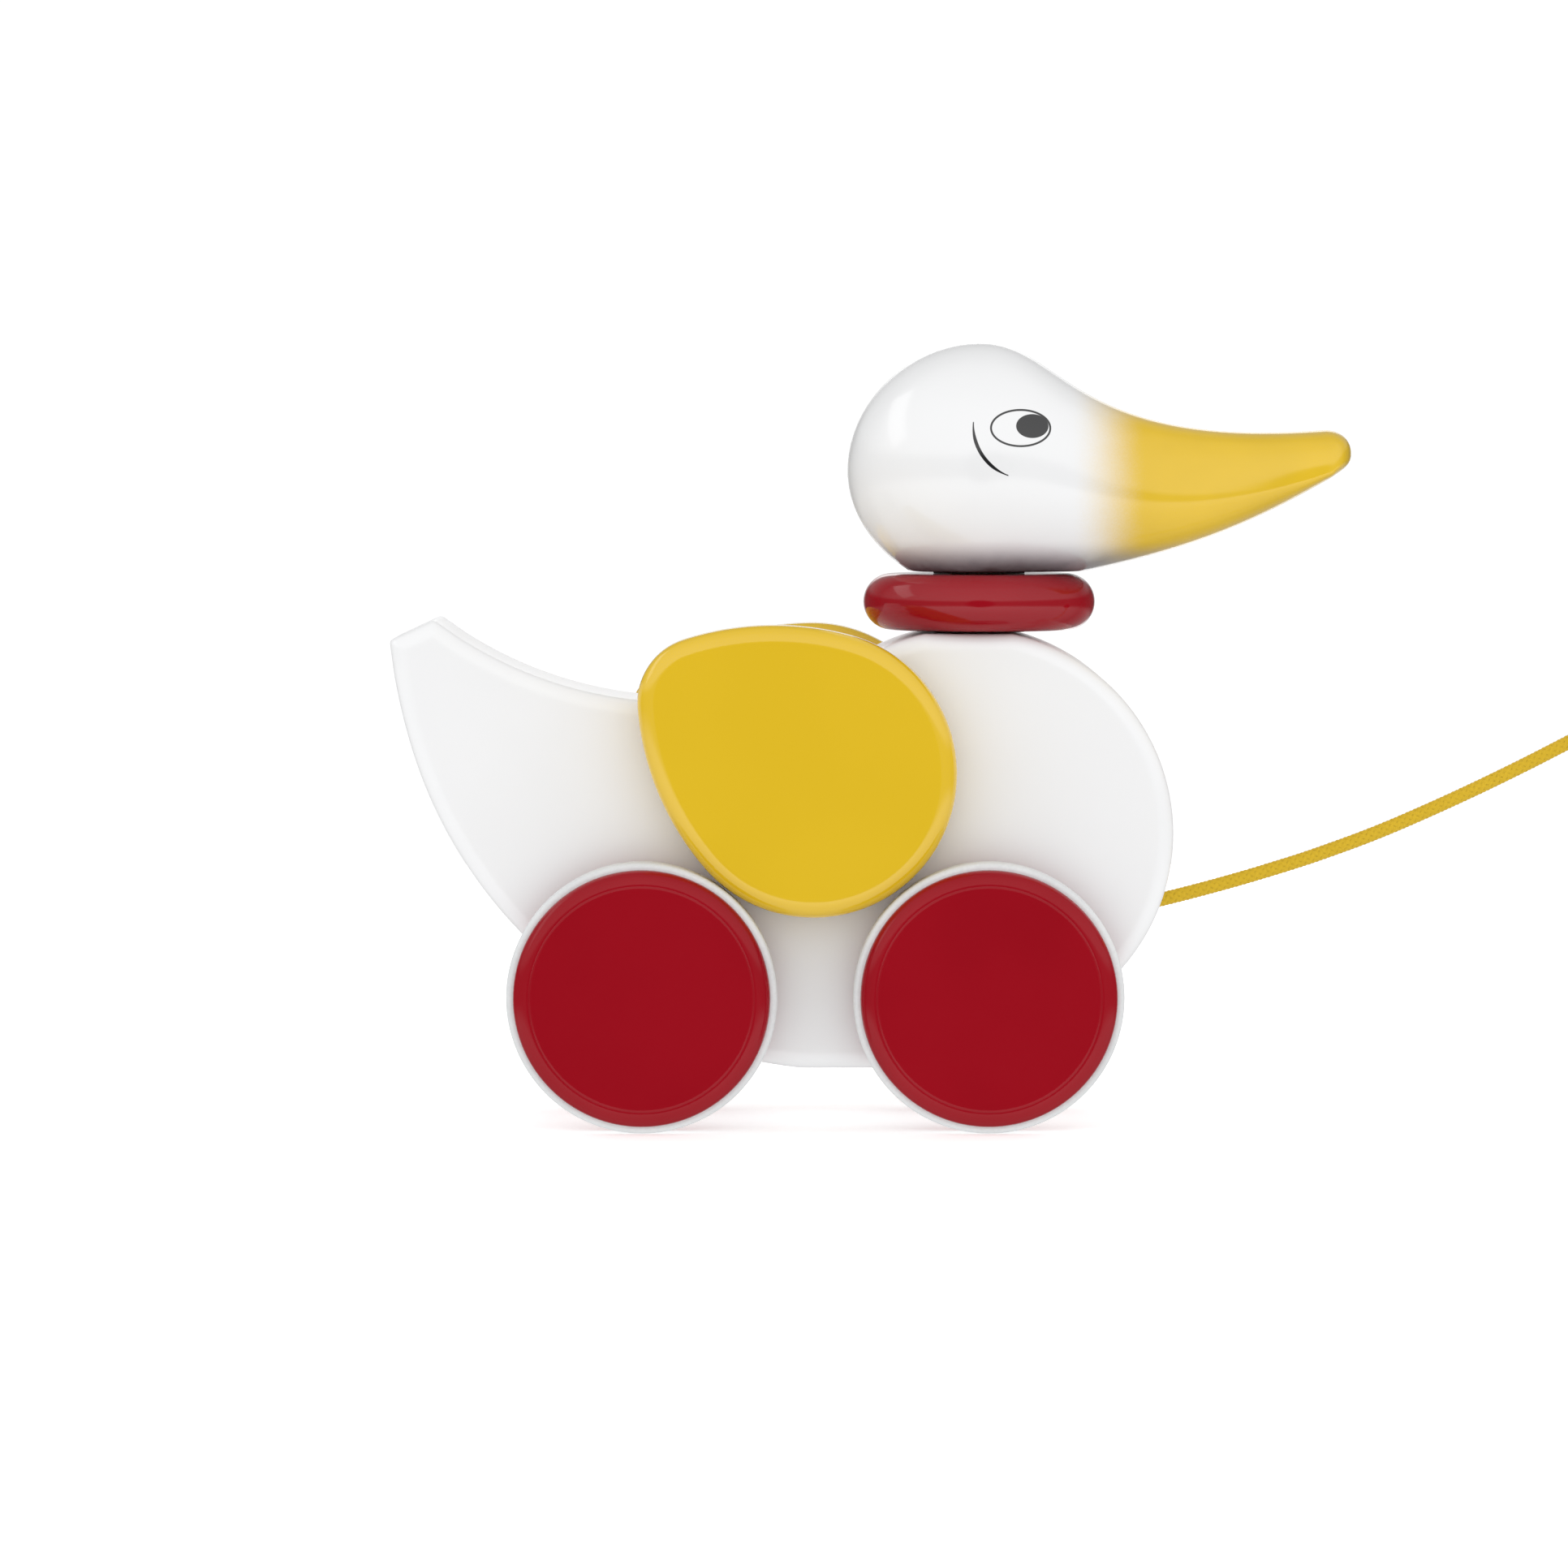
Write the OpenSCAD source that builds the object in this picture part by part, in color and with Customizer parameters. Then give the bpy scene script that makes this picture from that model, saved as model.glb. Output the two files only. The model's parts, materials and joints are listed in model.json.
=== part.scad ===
// Pull-along duck: a lacquered wooden board body on four rubber-tyred wheels, with a turning head,
// a loose neck ring, two swinging wings and a pull cord with a wooden bead.
// Millimetres. X points forward, Y to the duck's left, Z up.
// The origin lies on the floor, under the middle of the toy's length and width.

/* [Body] */
// Thickness of the body board
body_w = 42; // [38:1:54]
// Height of the chest circle's centre above the floor
chest_z = 60.6; // [60:0.1:61]
// Radius of the chest circle
chest_r = 42.2; // [41.8:0.1:44]
// Radius of the belly arc
belly_r = 93.5; // [91:0.5:100]
// Radius of the hollow back in front of the tail
saddle_r = 84; // [78:1:92]
// Radius of the tail's rear edge
rump_r = 120; // [112:1:130]
// Distance from the origin back to the top corner of the tail
tail_reach = 90.4; // [88:0.2:94]
// Slope of the cut that ends the tail
tail_cut = 25; // [20:1:34]
// Radius of the rounded edges of the board
body_edge = 3.4; // [1:0.1:4.5]
// Height of the flat on which the neck ring is stacked
seat_z = 101.8; // [100.5:0.1:102]
// Height of the flat on the belly
belly_z = 12.2; // [12:0.1:14]

/* [Wheels and axles] */
// Distance between the two axles
wheelbase = 71; // [62:0.5:76]
// Radius of the rubber tyre
tyre_r = 27.75; // [23.5:0.25:29]
// Height of the tyre above the wooden rim
tyre_proud = 1.45; // [0.8:0.05:2.5]
// Width of the tyre
tyre_w = 8; // [5:0.5:9]
// Depth of the tyre's bed in the rim
tyre_bed = 2; // [1:0.1:3]
// Thickness of a wheel
wheel_t = 15; // [13:0.5:20]
// Radius of the wheel's rounded outer edge
wheel_edge = 3.2; // [1:0.1:3.2]
// Radius of the steel axles
axle_r = 2.5; // [1.5:0.1:3.5]
// Depth of the blind axle hole in a wheel
axle_grip = 10; // [7:0.5:11]
// Wall of the axle bushes
bush_wall = 2; // [1:0.1:3]
// Length of a bush inside the body
bush_len = 10; // [6:1:15]
// Thickness of a bush's flange
flange_t = 1.2; // [0.8:0.1:2]

/* [Wings] */
// Radius of a wing's round part
wing_r = 29.4; // [24:0.1:30]
// Thickness of a wing
wing_t = 12; // [11:0.5:16]
// Distance of the wing tip circle behind the pivot
lobe_x = 22.4; // [18:0.2:24]
// Height of the wing tip circle above the pivot
lobe_z = 14.6; // [12:0.2:16]
// Radius of the wing tip circle
lobe_r = 13.6; // [11:0.2:15]
// Radius of a wing's upper edge
wing_top_r = 60; // [54:1:72]
// Radius of a wing's rear edge
wing_rear_r = 57; // [52:1:72]
// Radius of the rounded edges of a wing
wing_edge = 3.6; // [1:0.1:4]
// Distance of the pivot behind the middle of the wheelbase
wing_back = 0.4; // [0:0.1:1]
// Gap between a wing's rim and the rear tyre
rim_gap = 0.5; // [0.3:0.05:1.5]
// How far the left wing has swung down and back from the right one
left_wing_turn = 16; // [0:1:16]
// Radius of the steel wing shaft
shaft_r = 3; // [2:0.1:3.5]
// Wall of the wing bushes
clip_wall = 2.5; // [1.5:0.1:3.5]
// Depth of a wing bush in its wing
clip_len = 9; // [8:0.5:9]

/* [Neck and collar] */
// Distance of the neck dowel ahead of the origin
neck_x = 22.3; // [20:0.1:24]
// Radius of the neck dowel
neck_r = 6; // [4.5:0.1:7.5]
// Outer radius of the collar ring
collar_r = 24.1; // [20:0.1:28]
// Thickness of the collar ring
collar_t = 11.7; // [9:0.1:15]
// Radius of the two fibre washers
washer_r = 9.5; // [8.5:0.1:12]
// Thickness of a fibre washer
washer_t = 0.4; // [0.3:0.05:1]
// Depth of the dowel in the head
head_socket = 18; // [12:1:24]
// Depth of the dowel in the body
body_socket = 30; // [24:1:36]
// Radius of the pin that keeps the dowel in the body
pin_r = 2; // [1.5:0.1:2.5]

/* [Head] */
// Height of the head from its flat base to the crown
head_h = 47.5; // [42:0.5:54]
// Width of the head
head_w = 52; // [44:1:60]
// Length of the head from the back to the tip of the bill
head_l = 104.6; // [96:0.5:112]
// Width of the bill near its tip
bill_w = 27; // [20:1:34]

/* [Cord and bead] */
// Diameter of the pull cord
cord_d = 3; // [2:0.1:3.2]
// Radius of the pull bead
bead_r = 11; // [9:0.5:14]

/* [Hidden] */
$fn = 96;

// Radial clearance of a shaft that turns in its bush or hole
run_fit = 0.06;
// Play along a shaft, and between two faces that slide past each other
side_play = 0.3;
// Play of the stacked neck pieces
neck_play = 0.05;
// Room round the knot in its pocket
knot_room = 0.4;
// Where the middle of the wheelbase and the chest circle lie along the toy
wheel_mid_x = -11.9;
chest_x = 19.8;
// Directions in which each next circle of the outline lies from the last
belly_turn = 119.5;
rump_turn = 17.6;
saddle_turn = 118.2;

side_y = body_w / 2;
flange_y = side_y + flange_t;
wheel_y = flange_y + side_play;
wheel_r = tyre_r - tyre_proud;
bed_r = wheel_r - tyre_bed;
axle_z = tyre_r;
bush_r = axle_r + run_fit + bush_wall;
front_x = wheel_mid_x + wheelbase / 2;
rear_x = wheel_mid_x - wheelbase / 2;

wing_x = wheel_mid_x - wing_back;
wing_z = axle_z + sqrt(pow(tyre_r + wing_r + rim_gap, 2) - pow(wing_x - rear_x, 2));
clip_r = shaft_r + run_fit + clip_wall;
clip_in = 0.5;
snap_y = wheel_y + clip_len - 3;
snap_w = 1;
snap_deep = 0.4;

collar_z = seat_z + washer_t + neck_play;
head_z = collar_z + collar_t + neck_play + washer_t;
crown_z = head_z + head_h;
tip_x = neck_x - 27.4 + head_l;
groove_z = seat_z - body_socket * 0.6;
groove_w = 2 * pin_r + 2 * side_play;
groove_r = neck_r - 1.3;
pin_x = neck_x + groove_r + pin_r + side_play / 2;

cord_r = cord_d / 2;
cord_hole_r = cord_r + 0.25;
knot_r = 1.4 * cord_d;
pocket_r = knot_r + knot_room;
plug_len = 5;
// Centre line of the cord, from its knot in the breast to its knot behind the bead
CORD = [[47, 42.7], [50, 43.4], [55, 44.6], [60, 45.8], [66, 47.3], [72, 48.9], [78, 50.6], [84, 52.4],
    [90, 54.3], [96, 56.4], [102, 58.6], [108, 61], [114, 63.6], [120, 66.3], [126, 69.1], [132, 72],
    [138, 75], [144, 78.1], [150, 81.2], [156, 84.3], [162, 87.4], [168, 90.5], [174.8, 94]];
bead_at = 20;
bead_x = CORD[bead_at][0];
bead_z = CORD[bead_at][1];
exit_slope = atan2(CORD[3][1] - CORD[1][1], CORD[3][0] - CORD[1][0]);
pocket_x = CORD[0][0] - 1.5;
pocket_z = CORD[0][1] - 1.5 * tan(exit_slope);
plug_z = pocket_z - knot_r - side_play;

WHITE = [0.93, 0.93, 0.92];
YELLOW = [0.87, 0.73, 0.18];
RED = [0.62, 0.08, 0.13];
RUBBER = [0.82, 0.82, 0.82];
STEEL = [0.7, 0.7, 0.72];
NYLON = [0.9, 0.9, 0.86];
BEECH = [0.8, 0.64, 0.46];
FIBRE = [0.35, 0.3, 0.26];

// --- shared geometry ---

function polar(c, r, a) = c + r * [cos(a), sin(a)];
function turn_to(c, p) = (atan2(p[1] - c[1], p[0] - c[0]) + 360) % 360;
function arc(c, r, a, b, n, last) = [for (i = [0:n - 1 + last]) polar(c, r, a + (b - a) * i / n)];
// Where the line through p along u first meets the circle
function hit(p, u, c, r) = let(w = p - c, b = w * u) p + u * (-b - sqrt(b * b - w * w + r * r));
function bezier(p, t) = pow(1 - t, 3) * p[0] + 3 * pow(1 - t, 2) * t * p[1]
    + 3 * (1 - t) * t * t * p[2] + pow(t, 3) * p[3];

// Closed solid through rings that hold the same number of points
module skin(rings) {
    n = len(rings[0]);
    m = len(rings);
    side = [for (j = [0:m - 2], i = [0:n - 1], k = [0, 1])
        let(a = j * n + i, b = j * n + (i + 1) % n)
        k == 0 ? [a, b, a + n] : [b, b + n, a + n]];
    cap = [[for (i = [n - 1:-1:0]) i], [for (i = [0:n - 1]) (m - 1) * n + i]];
    polyhedron([for (r = rings) each r], concat(side, cap), convexity = 6);
}

// Rounded board between y0 and y1: ring(k) is the outline set in for step k of its two quarter rounds
STEPS = 5;
function round_in(e, k) = e * (1 - sin(90 * (k <= STEPS ? k : 2 * STEPS + 1 - k) / STEPS));
function round_y(e, y0, y1, k) = k <= STEPS
    ? y0 + e * (1 - cos(90 * k / STEPS))
    : y1 - e * (1 - cos(90 * (2 * STEPS + 1 - k) / STEPS));
function lift(outline, y) = [for (p = outline) [p[0], y, p[1]]];

// Round solid from a profile of radius and distance, turned about an axis that points along Y
module turned(x, y, z, side) {
    translate([x, y * side, z])
        rotate([-90 * side, 0, 0])
            rotate_extrude()
                children();
}

module rod_y(x, z, r, y0, y1) {
    translate([x, y0, z])
        rotate([-90, 0, 0])
            cylinder(r = r, h = y1 - y0);
}

module rod_z(x, r, z0, z1) {
    translate([x, 0, z0])
        cylinder(r = r, h = z1 - z0);
}

// --- body ---

chest_c = [chest_x, chest_z];
belly_c = polar(chest_c, belly_r - chest_r, belly_turn);
rump_c = polar(belly_c, rump_r - belly_r, rump_turn);
saddle_c = polar(chest_c, chest_r + saddle_r, saddle_turn);
cut_u = [cos(tail_cut), sin(tail_cut)];
cut_n = [sin(tail_cut), -cos(tail_cut)];
cut_p = [-tail_reach, saddle_c[1] - sqrt(pow(saddle_r, 2) - pow(tail_reach + saddle_c[0], 2))];

// Outline of the board set in by d: belly, chest, seat, saddle, tail cut, rump and belly again
function body_outline(d) = let(
        cut = cut_p + d * cut_n,
        top = hit(cut, cut_u, saddle_c, saddle_r + d),
        low = hit(cut, cut_u, rump_c, rump_r - d),
        flat_a = acos((belly_c[1] - belly_z - d) / (belly_r - d)),
        seat_a = acos((seat_z - d - chest_z) / (chest_r - d)))
    concat(
        arc(belly_c, belly_r - d, 270 + flat_a, belly_turn + 180, 8, 0),
        arc(chest_c, chest_r - d, belly_turn - 180, 90 - seat_a, 26, 1),
        arc(chest_c, chest_r - d, 90 + seat_a, saddle_turn, 4, 0),
        arc(saddle_c, saddle_r + d, saddle_turn + 180, turn_to(saddle_c, top), 16, 1),
        arc(rump_c, rump_r - d, turn_to(rump_c, low), rump_turn + 180, 6, 0),
        arc(belly_c, belly_r - d, rump_turn + 180, 270 - flat_a, 18, 1));

module body() {
    color(WHITE)
        difference() {
            skin([for (k = [2 * STEPS + 1:-1:0])
                lift(body_outline(round_in(body_edge, k)), round_y(body_edge, -side_y, side_y, k))]);
            for (x = [front_x, rear_x]) {
                rod_y(x, axle_z, bush_r, -side_y - 1, side_y + 1);
            }
            rod_y(wing_x, wing_z, shaft_r, -side_y - 1, side_y + 1);
            rod_z(neck_x, neck_r + run_fit, seat_z - body_socket - side_play, crown_z);
            rod_y(pin_x, groove_z, pin_r, -neck_r, side_y + 1);
            translate([pocket_x, 0, pocket_z])
                rotate([0, 90 - exit_slope, 0])
                    cylinder(r = cord_hole_r, h = chest_r);
            rod_z(pocket_x, pocket_r, 0, pocket_z + knot_r + side_play);
        }
}

// --- head ---

// Rib stations along the head: the back dome, the crown and bill, and the rounded tip of the bill
DOME = 12;
BILL = 30;
TIP = 7;
RIB = 48;
head_back = neck_x - 27.4;
pole_z = head_z + 0.44 * head_h;
jaw_dip = 4.2;
bill_top = crown_z - 18.2;
bill_low = head_z + 19.3;
tip_z = head_z + 24.3;
dome_top = [[head_back, pole_z], [head_back, pole_z + 0.3 * head_h], [neck_x - 14.4, crown_z], [neck_x, crown_z]];
dome_low = [[head_back, pole_z], [head_back, pole_z - 0.29 * head_h], [neck_x - 13.5, head_z - jaw_dip],
    [neck_x, head_z - jaw_dip]];
bill_up = [[neck_x, crown_z], [neck_x + 17.8, crown_z], [tip_x - 59, bill_top - 4.2], [tip_x - 5.5, bill_top]];
bill_down = [[neck_x, head_z - jaw_dip], [neck_x + 32, head_z + 1.5], [tip_x - 28, head_z + 5.3],
    [tip_x - 4.6, bill_low]];
tip_up = [[tip_x - 5.5, bill_top], [tip_x - 2.2, bill_top], [tip_x, tip_z + 3], [tip_x, tip_z]];
tip_down = [[tip_x - 4.6, bill_low], [tip_x - 2.4, bill_low + 1.6], [tip_x, tip_z - 2.5], [tip_x, tip_z]];

// Rib between an upper and a lower point, with a half width and the squareness of its section
function rib(up, low, half, square) = [for (i = [0:RIB - 1])
    let(c = cos(360 * i / RIB), s = sin(360 * i / RIB), m = (up + low) / 2, h = (up - low) / 2,
        v = sign(c) * pow(abs(c), 2 / square), w = sign(s) * pow(abs(s), 2 / square))
    [m[0] + h[0] * v, half * w, max(head_z, m[1] + h[1] * v)]];

function head_ribs() = concat(
    [for (i = [0:DOME - 1]) let(t = 0.04 + 0.96 * i / DOME)
        rib(bezier(dome_top, t), bezier(dome_low, t), head_w / 2 * sin(90 * t), 2)],
    [for (i = [0:BILL - 1]) let(t = i / BILL)
        rib(bezier(bill_up, t), bezier(bill_down, t),
            bezier([head_w, head_w, bill_w * 0.9, bill_w], t) / 2, 2 + 0.3 * t)],
    [for (i = [0:TIP]) let(t = 0.97 * i / TIP)
        rib(bezier(tip_up, t), bezier(tip_down, t), bill_w / 2 * cos(90 * t), 2.3)]);

module head() {
    color(WHITE)
        difference() {
            skin(head_ribs());
            rod_z(neck_x, neck_r, head_z - 1, head_z + head_socket);
        }
}

// --- neck ---

module neck_dowel() {
    color(BEECH)
        difference() {
            rod_z(neck_x, neck_r, seat_z - body_socket, head_z + head_socket);
            difference() {
                rod_z(neck_x, neck_r + 1, groove_z - groove_w / 2, groove_z + groove_w / 2);
                rod_z(neck_x, groove_r, 0, crown_z);
            }
        }
}

module neck_pin() {
    color(STEEL)
        rod_y(pin_x, groove_z, pin_r, -neck_r, side_y);
}

module washer(z) {
    color(FIBRE)
        difference() {
            rod_z(neck_x, washer_r, z, z + washer_t);
            rod_z(neck_x, neck_r + run_fit, z - 1, z + washer_t + 1);
        }
}

module collar() {
    edge = collar_t / 2;
    color(RED)
        translate([neck_x, 0, collar_z + edge])
            rotate_extrude() {
                translate([neck_r + run_fit, -edge])
                    square([collar_r - edge - neck_r - run_fit, collar_t]);
                intersection() {
                    translate([collar_r - edge, 0])
                        circle(r = edge);
                    translate([collar_r - edge, -edge])
                        square([edge, collar_t]);
                }
            }
}

// --- wings ---

// Centre of a circle of radius r that holds circles a and b, touching both from inside
function holding(a, ra, b, rb, r, side) = let(
        v = b - a,
        d = norm(v),
        u = v / d,
        s = (pow(r - ra, 2) - pow(r - rb, 2) + d * d) / (2 * d),
        h = sqrt(pow(r - ra, 2) - s * s))
    a + u * s + [-u[1], u[0]] * h * side;

lobe_c = [-lobe_x, lobe_z];
wing_top_c = holding([0, 0], wing_r, lobe_c, lobe_r, wing_top_r, 1);
wing_rear_c = holding([0, 0], wing_r, lobe_c, lobe_r, wing_rear_r, -1);
front_a = turn_to(wing_top_c, [0, 0]);
top_a = turn_to(wing_top_c, lobe_c);
rear_a = turn_to(wing_rear_c, lobe_c);
rim_a = turn_to(wing_rear_c, [0, 0]);

// Outline of a wing about its pivot, set in by d: round rim, upper edge, tip and rear edge
function wing_outline(d) = concat(
    arc([0, 0], wing_r - d, rim_a - 360, front_a, 40, 0),
    arc(wing_top_c, wing_top_r - d, front_a, top_a, 12, 0),
    arc(lobe_c, lobe_r - d, top_a, rear_a, 14, 0),
    arc(wing_rear_c, wing_rear_r - d, rear_a, rim_a, 12, 0));

module wing(side, swing) {
    color(YELLOW)
        translate([wing_x, 0, wing_z])
            rotate([0, -swing, 0])
                difference() {
                    skin([for (k = [2 * STEPS + 1:-1:0])
                        lift(wing_outline(round_in(wing_edge, k)),
                            round_y(wing_edge, side > 0 ? wheel_y : -wheel_y - wing_t,
                                side > 0 ? wheel_y + wing_t : -wheel_y, k))]);
                    rod_y(0, 0, clip_r, side > 0 ? 0 : -wheel_y - clip_len, side > 0 ? wheel_y + clip_len : 0);
                }
}

module wing_shaft() {
    end_y = wheel_y + clip_len - clip_in - side_play;
    color(STEEL)
        difference() {
            rod_y(wing_x, wing_z, shaft_r, -end_y, end_y);
            for (side = [-1, 1]) {
                turned(wing_x, snap_y - side_play / 2, wing_z, side)
                    translate([shaft_r - snap_deep, 0])
                        square([snap_deep + 1, snap_w + side_play]);
            }
        }
}

// Nylon bush in a wing, with a floor and an inner ridge that snaps into the shaft's groove
module wing_bush(side) {
    color(NYLON)
        turned(wing_x, wheel_y, wing_z, side) {
            translate([shaft_r + run_fit, 0])
                square([clip_wall, clip_len]);
            translate([0, clip_len - clip_in])
                square([clip_r, clip_in]);
            translate([shaft_r - snap_deep + run_fit, snap_y - wheel_y])
                square([snap_deep + clip_wall, snap_w]);
        }
}

module wing_spacer(side) {
    color(NYLON)
        turned(wing_x, side_y, wing_z, side)
            translate([shaft_r, 0])
                square([clip_r + 1 - shaft_r, flange_t]);
}

// --- wheels ---

// Half section of a wheel: hub side at 0, painted face at wheel_t, with a bed for the tyre
module wheel_section() {
    bed_y = (wheel_t - tyre_w) / 2;
    back_edge = min(1.5, bed_y - side_play);
    edge = min(wheel_edge, bed_y - side_play);
    polygon(concat(
        [[0, 0]],
        arc([wheel_r - back_edge, back_edge], back_edge, -90, 0, 6, 1),
        [[wheel_r, bed_y], [bed_r, bed_y], [bed_r, bed_y + tyre_w], [wheel_r, bed_y + tyre_w]],
        arc([wheel_r - edge, wheel_t - edge], edge, 0, 90, 8, 1),
        [[0, wheel_t]]));
}

module wheel(x, side) {
    color(RED)
        difference() {
            turned(x, wheel_y, axle_z, side)
                wheel_section();
            rod_y(x, axle_z, axle_r, side > 0 ? 0 : -wheel_y - axle_grip, side > 0 ? wheel_y + axle_grip : 0);
        }
}

module tyre(x, side) {
    crown = min(1.2, tyre_proud);
    tall = tyre_r - bed_r;
    color(RUBBER)
        turned(x, wheel_y + (wheel_t - tyre_w) / 2, axle_z, side)
            polygon(concat(
                [[bed_r, 0]],
                arc([bed_r + tall - crown, crown], crown, -90, 0, 5, 1),
                arc([bed_r + tall - crown, tyre_w - crown], crown, 0, 90, 5, 1),
                [[bed_r, tyre_w]]));
}

module axle(x) {
    color(STEEL)
        rod_y(x, axle_z, axle_r, -wheel_y - axle_grip, wheel_y + axle_grip);
}

// Flanged nylon bush pressed into the body from one side
module bush(x, side) {
    color(NYLON)
        turned(x, side_y - bush_len, axle_z, side) {
            translate([axle_r + run_fit, 0])
                square([bush_wall, bush_len]);
            translate([axle_r + run_fit, bush_len])
                square([bush_wall + 2.5, flange_t]);
        }
}

// --- cord ---

SIDES = 8;
function heading(i) = let(a = CORD[max(i - 1, 0)], b = CORD[min(i + 1, len(CORD) - 1)])
    atan2(b[1] - a[1], b[0] - a[0]);
function cord_ring(i) = [for (k = [0:SIDES - 1])
    let(a = heading(i), u = cord_r * cos(360 * k / SIDES), v = cord_r * sin(360 * k / SIDES))
    [CORD[i][0] - u * sin(a), v, CORD[i][1] + u * cos(a)]];

module pull_cord() {
    color(YELLOW)
        skin([for (i = [0:len(CORD) - 1]) cord_ring(i)]);
}

module cord_knot() {
    color(YELLOW)
        translate([pocket_x, 0, pocket_z])
            sphere(r = knot_r);
}

module cord_plug() {
    color(BEECH)
        rod_z(pocket_x, pocket_r, plug_z - plug_len, plug_z);
}

module pull_bead() {
    color(RED)
        translate([bead_x, 0, bead_z])
            rotate([0, 90 - heading(bead_at), 0])
                difference() {
                    sphere(r = bead_r);
                    cylinder(r = cord_hole_r, h = 3 * bead_r, center = true);
                }
}

module bead_knot() {
    last = CORD[len(CORD) - 1];
    color(YELLOW)
        translate([last[0], 0, last[1]])
            sphere(r = knot_r * 0.9);
}

body();
head();
neck_dowel();
neck_pin();
collar();
washer(seat_z);  // collar_washer
washer(head_z - washer_t);  // head_washer
wing(-1, 0);  // wing_right
wing(1, left_wing_turn);  // wing_left
wing_shaft();
wing_bush(-1);  // wing_bush_right
wing_bush(1);  // wing_bush_left
wing_spacer(-1);  // wing_spacer_right
wing_spacer(1);  // wing_spacer_left
axle(front_x);  // front_axle
axle(rear_x);  // rear_axle
wheel(front_x, -1);  // wheel_front_right
wheel(front_x, 1);  // wheel_front_left
wheel(rear_x, -1);  // wheel_rear_right
wheel(rear_x, 1);  // wheel_rear_left
tyre(front_x, -1);  // tyre_front_right
tyre(front_x, 1);  // tyre_front_left
tyre(rear_x, -1);  // tyre_rear_right
tyre(rear_x, 1);  // tyre_rear_left
bush(front_x, -1);  // bush_front_right
bush(front_x, 1);  // bush_front_left
bush(rear_x, -1);  // bush_rear_right
bush(rear_x, 1);  // bush_rear_left
pull_cord();
cord_knot();
cord_plug();
pull_bead();
bead_knot();
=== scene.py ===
# %% [markdown]
# A wooden pull-along duck: a white board body, a turned head with an airbrushed bill, a loose red
# ring at the neck, two yellow wings, four red wheels with pale rubber tyres and a yellow cord.
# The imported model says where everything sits, so each new piece takes its place from it. All
# lengths are in metres: X points forward, Y to the duck's left and Z up.

# %% Load the frame
import json
import math

import bmesh
import bpy
from mathutils import Matrix, Vector


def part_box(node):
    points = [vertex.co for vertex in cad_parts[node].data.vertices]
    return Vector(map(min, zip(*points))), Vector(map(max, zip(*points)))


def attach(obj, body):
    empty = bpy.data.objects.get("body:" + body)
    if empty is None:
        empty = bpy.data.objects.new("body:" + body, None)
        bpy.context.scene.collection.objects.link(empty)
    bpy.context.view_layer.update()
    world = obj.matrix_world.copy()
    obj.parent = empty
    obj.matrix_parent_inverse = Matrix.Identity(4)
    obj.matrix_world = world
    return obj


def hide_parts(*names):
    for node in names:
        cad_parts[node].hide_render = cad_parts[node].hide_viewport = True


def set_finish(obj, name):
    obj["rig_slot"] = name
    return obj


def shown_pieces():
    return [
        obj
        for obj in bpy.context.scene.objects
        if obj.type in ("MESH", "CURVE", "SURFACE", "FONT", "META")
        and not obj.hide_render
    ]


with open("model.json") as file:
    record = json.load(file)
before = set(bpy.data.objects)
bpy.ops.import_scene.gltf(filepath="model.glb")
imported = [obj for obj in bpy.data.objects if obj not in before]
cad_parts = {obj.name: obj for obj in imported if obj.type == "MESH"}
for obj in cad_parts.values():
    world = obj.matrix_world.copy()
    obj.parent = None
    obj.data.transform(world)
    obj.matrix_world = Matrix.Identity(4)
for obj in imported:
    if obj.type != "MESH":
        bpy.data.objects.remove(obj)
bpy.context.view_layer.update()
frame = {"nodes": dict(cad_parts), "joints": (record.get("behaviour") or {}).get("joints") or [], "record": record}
JOINTS = {j["name"]: Vector(j["pos_m"]) for j in frame["joints"]}


def middle(node):
    """The centre of a node's box."""
    low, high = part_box(node)
    return (low + high) / 2


def extent(node):
    """How far a node reaches along X, Y and Z."""
    low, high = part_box(node)
    return high - low


# %% [markdown]
# The camera comes first, because it says how far the cord may be seen. A long lens far away keeps
# the toy nearly in side view, and it looks down by a few degrees, so that the top edges of the
# body, the ring and the far wheels just show. FIELD is how wide its view is at the toy, and the
# lens follows from it, with the sensor left as wide as Blender makes it.

# %% Camera
LOOKS_DOWN = math.radians(2.82)
DISTANCE = 1.6
AIM = Vector((-0.0183, 0, 0.07))
FIELD = 0.3269


def place_camera():
    data = bpy.data.cameras.new("camera")
    data.lens = data.sensor_width * DISTANCE / FIELD
    camera = bpy.data.objects.new("camera", data)
    back = Vector((0, -math.cos(LOOKS_DOWN), math.sin(LOOKS_DOWN)))
    camera.location = AIM + back * DISTANCE
    camera.rotation_euler = (math.pi / 2 - LOOKS_DOWN, 0, 0)
    bpy.context.scene.collection.objects.link(camera)
    bpy.context.scene.camera = camera
    return camera


print("a lens of", round(place_camera().data.lens), "mm")

# %% [markdown]
# Two tools serve every piece. The first turns a finished bmesh into an object that rides on its
# body and stands for its CAD node. Faces are shaded smooth, and an edge stays crisp only where two
# faces meet at a real corner. The second makes a round bar to cut a hole with: bmesh has no boolean,
# so a Boolean modifier takes the bar out of the piece and its result is applied.

# %% Pieces and holes
CORNER = math.radians(34)


def add_object(name, bm):
    mesh = bpy.data.meshes.new(name)
    bm.to_mesh(mesh)
    bm.free()
    made = bpy.data.objects.new(name, mesh)
    bpy.context.scene.collection.objects.link(made)
    return made


def apply_modifiers(made):
    """Makes what the modifiers show the object's own mesh."""
    seen = made.evaluated_get(bpy.context.evaluated_depsgraph_get())
    old, made.data = made.data, bpy.data.meshes.new_from_object(seen)
    made.modifiers.clear()
    bpy.data.meshes.remove(old)


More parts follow.
